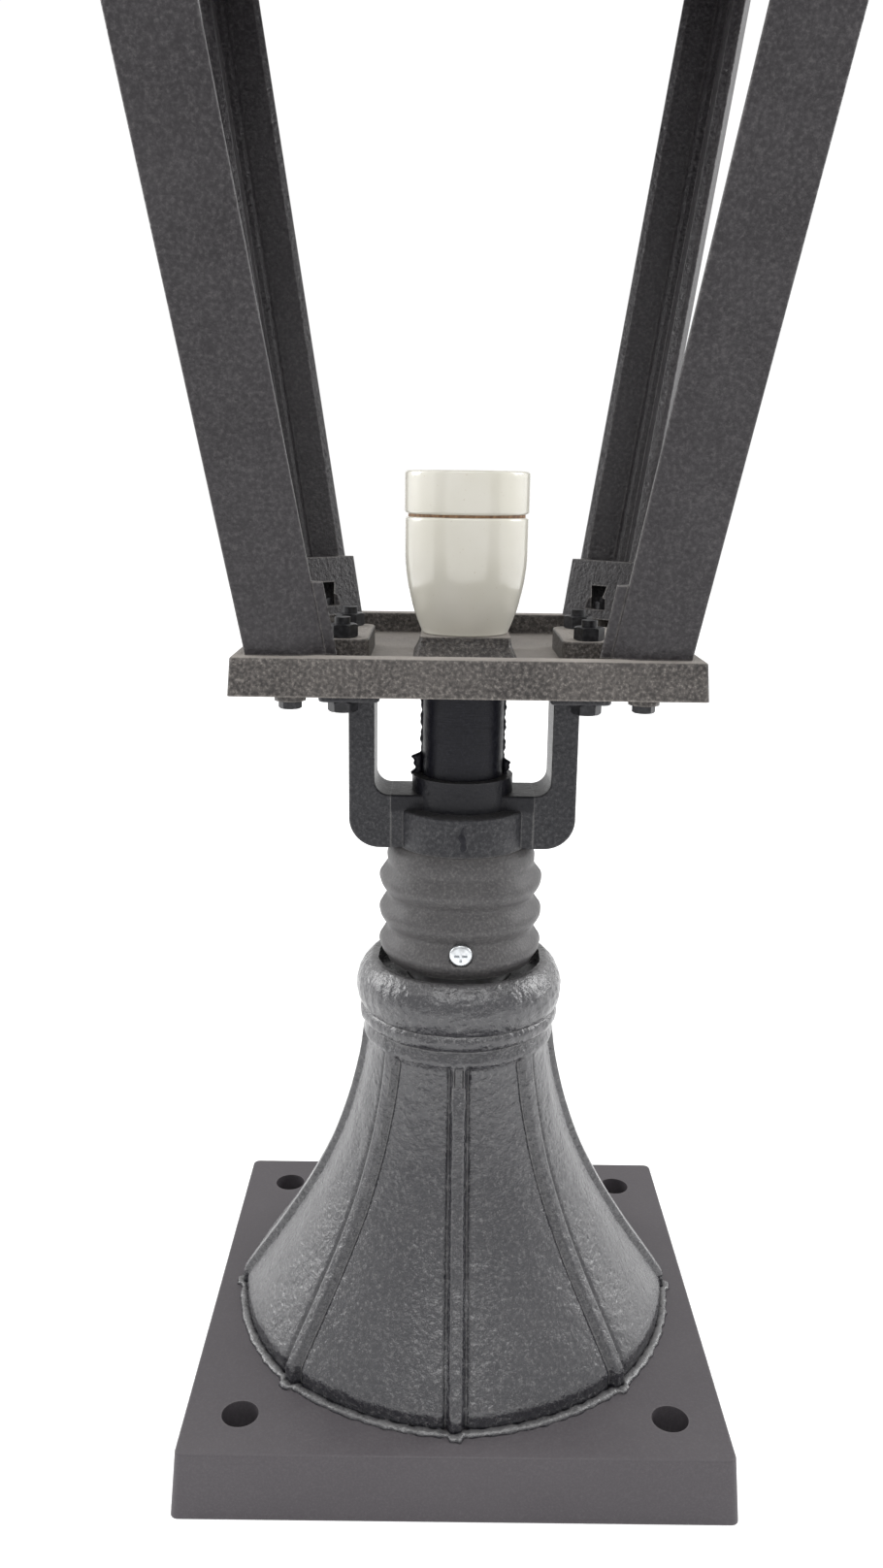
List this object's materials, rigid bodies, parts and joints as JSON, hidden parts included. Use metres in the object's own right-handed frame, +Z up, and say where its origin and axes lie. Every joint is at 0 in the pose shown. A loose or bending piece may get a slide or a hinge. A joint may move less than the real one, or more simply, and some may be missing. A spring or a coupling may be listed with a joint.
{
  "type": "pedestal street lantern",
  "caption": "Square tapered street lantern on a yoke and ringed neck, standing on a ribbed bell pedestal and square ground plate, with a porcelain lampholder and hinged hipped roof.",
  "frame": {"origin": "centre of the ground plate's underside", "axes": "+Z up, -Y the front that carries the neck screw and roof catch, +X to the right seen from the front"},
  "size_m": [0.2608, 0.2878, 0.795],
  "materials": {
    "plate_paint": "smooth satin dark grey paint over a casting",
    "casting_paint": "satin charcoal paint over a sand-cast skin",
    "black_fasteners": "blackened steel",
    "zinc_steel": "bright zinc plate",
    "spigot_steel": "galvanised steel tube",
    "glazed_porcelain": "off-white gloss glaze",
    "bare_porcelain": "unglazed white ceramic",
    "brass": "plain brass",
    "fibre": "brown pressed fibre"
  },
  "bodies": {
    "pedestal": {"base_plate": "plate_paint", "bell_foot": "casting_paint", "bell_neck": "casting_paint", "bell_screws": "zinc_steel", "spigot_tube": "spigot_steel", "spigot_screws": "zinc_steel"},
    "lantern_head": {"neck_sleeve": "casting_paint", "neck_set_screw": "zinc_steel", "stem_pipe": "casting_paint", "stem_backnut": "zinc_steel", "yoke_hub": "casting_paint", "yoke_arm_left": "casting_paint", "yoke_arm_right": "casting_paint", "yoke_bolts": "black_fasteners", "yoke_nuts": "black_fasteners", "lantern_tray": "casting_paint", "corner_post_rear_right": "casting_paint", "corner_post_rear_left": "casting_paint", "corner_post_front_right": "casting_paint", "corner_post_front_left": "casting_paint", "post_bolts": "black_fasteners", "post_nuts": "black_fasteners", "earth_screw": "brass", "lampholder_body": "glazed_porcelain", "holder_nipple": "brass", "nipple_nuts": "brass", "contact_block": "bare_porcelain", "lamp_screw_shell": "brass", "centre_contact": "brass", "terminal_screws": "brass", "holder_seal": "fibre", "top_frame": "casting_paint", "top_frame_screws": "black_fasteners", "top_frame_nuts": "black_fasteners", "hinge_pin": "zinc_steel", "catch_screw": "black_fasteners"},
    "holder_ring_body": {"holder_ring": "glazed_porcelain"},
    "catch": {"roof_catch": "casting_paint"},
    "roof": {"roof_shell": "casting_paint", "vent_bridge": "zinc_steel", "vent_collar": "casting_paint", "vent_cap": "casting_paint", "finial": "casting_paint", "finial_stud": "zinc_steel", "finial_nut": "zinc_steel"}
  },
  "joints": [
    {"name": "neck_swivel", "type": "hinge", "parent": "pedestal", "child": "lantern_head", "pos_m": [0, 0, 0.1815], "axis": [0, 0, 1], "range_deg": [-180, 180]},
    {"name": "roof_hinge", "type": "hinge", "parent": "lantern_head", "child": "roof", "pos_m": [0, 0.13741, 0.5997], "axis": [-1, 0, 0], "range_deg": [0, 105]},
    {"name": "catch_turn", "type": "hinge", "parent": "lantern_head", "child": "catch", "pos_m": [0, -0.13841, 0.6053], "axis": [0, 0, 1], "range_deg": [0, 90]},
    {"name": "holder_ring_turn", "type": "hinge", "parent": "lantern_head", "child": "holder_ring_body", "pos_m": [0, 0, 0.3587], "axis": [0, 0, 1], "range_deg": [0, 540]}
  ]
}
